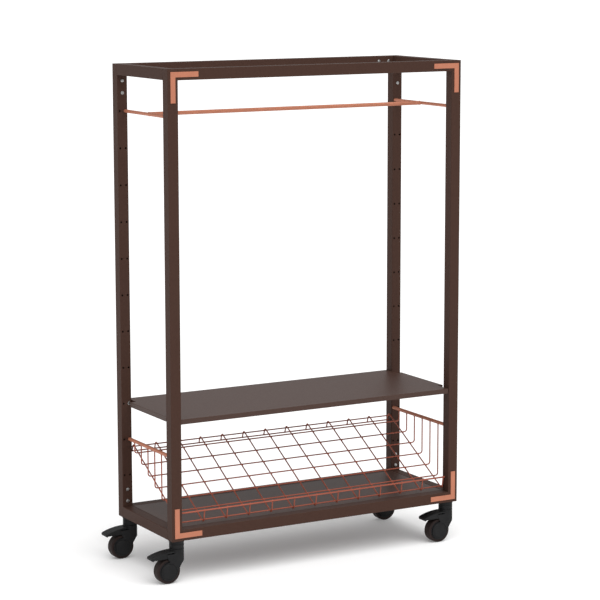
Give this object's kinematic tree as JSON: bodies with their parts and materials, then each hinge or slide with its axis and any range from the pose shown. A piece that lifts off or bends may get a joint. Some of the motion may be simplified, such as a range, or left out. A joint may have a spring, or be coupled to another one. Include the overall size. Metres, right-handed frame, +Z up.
{
  "type": "rolling clothes rack",
  "caption": "Tall square-tube clothes rack on braked swivel casters, with corner brackets, a hang rail, a shelf, a sloping wire basket and a flush bottom panel.",
  "frame": {"origin": "on the floor, under the middle of the whole object's outline with its casters trailing towards -X, which is 32 mm to the -X side of the frame's own middle", "axes": "+Z up, +X along the rack to the right as seen from the front, +Y from the front (the basket's lip) to the back"},
  "size_m": [1.064, 0.376, 1.513],
  "materials": {
    "frame_paint": "dark brown fine-textured powder coat, satin",
    "shelf_paint": "the same brown powder coat on sheet steel, satin",
    "copper_paint": "smooth copper-coloured powder coat, satin",
    "copper_wire": "copper-coloured lacquer on steel wire, semi-gloss",
    "zinc_steel": "bright zinc-plated steel",
    "black_plastic": "black moulded nylon, fine spark texture",
    "wheel_plastic": "dark grey moulded plastic",
    "tyre_rubber": "dark brownish thermoplastic rubber, matt"
  },
  "bodies": {
    "rack": {"front_left_post": "frame_paint", "front_right_post": "frame_paint", "back_left_post": "frame_paint", "back_right_post": "frame_paint", "left_bottom_rail": "frame_paint", "right_bottom_rail": "frame_paint", "front_bottom_rail": "frame_paint", "back_bottom_rail": "frame_paint", "left_top_rail": "frame_paint", "right_top_rail": "frame_paint", "front_top_rail": "frame_paint", "back_top_rail": "frame_paint", "post_foot_blocks": "zinc_steel", "front_left_bottom_bracket": "copper_paint", "front_left_top_bracket": "copper_paint", "front_right_bottom_bracket": "copper_paint", "front_right_top_bracket": "copper_paint", "back_left_bottom_bracket": "copper_paint", "back_left_top_bracket": "copper_paint", "back_right_bottom_bracket": "copper_paint", "back_right_top_bracket": "copper_paint", "bracket_screws": "zinc_steel", "bottom_panel": "shelf_paint", "panel_support_tabs": "frame_paint", "mid_shelf": "shelf_paint", "mid_shelf_stiffeners": "shelf_paint", "shelf_pins": "zinc_steel", "hang_rail_left_arm": "copper_paint", "hang_rail_right_arm": "copper_paint", "hang_rail_bar": "copper_paint", "basket_left_rod": "copper_paint", "basket_right_rod": "copper_paint", "basket_left_uprights": "copper_wire", "basket_right_uprights": "copper_wire", "basket_long_wires": "copper_wire", "basket_cross_wires": "copper_wire", "basket_edge_wires": "copper_wire", "caster_stems": "zinc_steel", "caster_collars": "black_plastic", "swivel_bearings": "zinc_steel"},
    "front_left_swivel": {"front_left_fork": "black_plastic", "front_left_axle": "zinc_steel"},
    "front_left_wheel_set": {"front_left_wheel": "wheel_plastic", "front_left_tyre": "tyre_rubber"},
    "front_left_brake": {"front_left_brake_pedal": "black_plastic"},
    "front_right_swivel": {"front_right_fork": "black_plastic", "front_right_axle": "zinc_steel"},
    "front_right_wheel_set": {"front_right_wheel": "wheel_plastic", "front_right_tyre": "tyre_rubber"},
    "front_right_brake": {"front_right_brake_pedal": "black_plastic"},
    "back_left_swivel": {"back_left_fork": "black_plastic", "back_left_axle": "zinc_steel"},
    "back_left_wheel_set": {"back_left_wheel": "wheel_plastic", "back_left_tyre": "tyre_rubber"},
    "back_left_brake": {"back_left_brake_pedal": "black_plastic"},
    "back_right_swivel": {"back_right_fork": "black_plastic", "back_right_axle": "zinc_steel"},
    "back_right_wheel_set": {"back_right_wheel": "wheel_plastic", "back_right_tyre": "tyre_rubber"},
    "back_right_brake": {"back_right_brake_pedal": "black_plastic"}
  },
  "joints": [
    {"name": "front_left_swivel_turn", "type": "hinge", "parent": "rack", "child": "front_left_swivel", "pos_m": [-0.442, -0.16, 0.103], "axis": [0, 0, 1], "continuous": true},
    {"name": "front_left_wheel_roll", "type": "hinge", "parent": "front_left_swivel", "child": "front_left_wheel_set", "pos_m": [-0.4745, -0.16, 0.0375], "axis": [0, 1, 0], "continuous": true},
    {"name": "front_left_brake_press", "type": "hinge", "parent": "front_left_swivel", "child": "front_left_brake", "pos_m": [-0.469, -0.16, 0.086], "axis": [0, -1, 0], "range_deg": [0, 12]},
    {"name": "front_right_swivel_turn", "type": "hinge", "parent": "rack", "child": "front_right_swivel", "pos_m": [0.506, -0.16, 0.103], "axis": [0, 0, 1], "continuous": true},
    {"name": "front_right_wheel_roll", "type": "hinge", "parent": "front_right_swivel", "child": "front_right_wheel_set", "pos_m": [0.4735, -0.16, 0.0375], "axis": [0, 1, 0], "continuous": true},
    {"name": "front_right_brake_press", "type": "hinge", "parent": "front_right_swivel", "child": "front_right_brake", "pos_m": [0.479, -0.16, 0.086], "axis": [0, -1, 0], "range_deg": [0, 12]},
    {"name": "back_left_swivel_turn", "type": "hinge", "parent": "rack", "child": "back_left_swivel", "pos_m": [-0.442, 0.16, 0.103], "axis": [0, 0, 1], "continuous": true},
    {"name": "back_left_wheel_roll", "type": "hinge", "parent": "back_left_swivel", "child": "back_left_wheel_set", "pos_m": [-0.4745, 0.16, 0.0375], "axis": [0, 1, 0], "continuous": true},
    {"name": "back_left_brake_press", "type": "hinge", "parent": "back_left_swivel", "child": "back_left_brake", "pos_m": [-0.469, 0.16, 0.086], "axis": [0, -1, 0], "range_deg": [0, 12]},
    {"name": "back_right_swivel_turn", "type": "hinge", "parent": "rack", "child": "back_right_swivel", "pos_m": [0.506, 0.16, 0.103], "axis": [0, 0, 1], "continuous": true},
    {"name": "back_right_wheel_roll", "type": "hinge", "parent": "back_right_swivel", "child": "back_right_wheel_set", "pos_m": [0.4735, 0.16, 0.0375], "axis": [0, 1, 0], "continuous": true},
    {"name": "back_right_brake_press", "type": "hinge", "parent": "back_right_swivel", "child": "back_right_brake", "pos_m": [0.479, 0.16, 0.086], "axis": [0, -1, 0], "range_deg": [0, 12]}
  ]
}
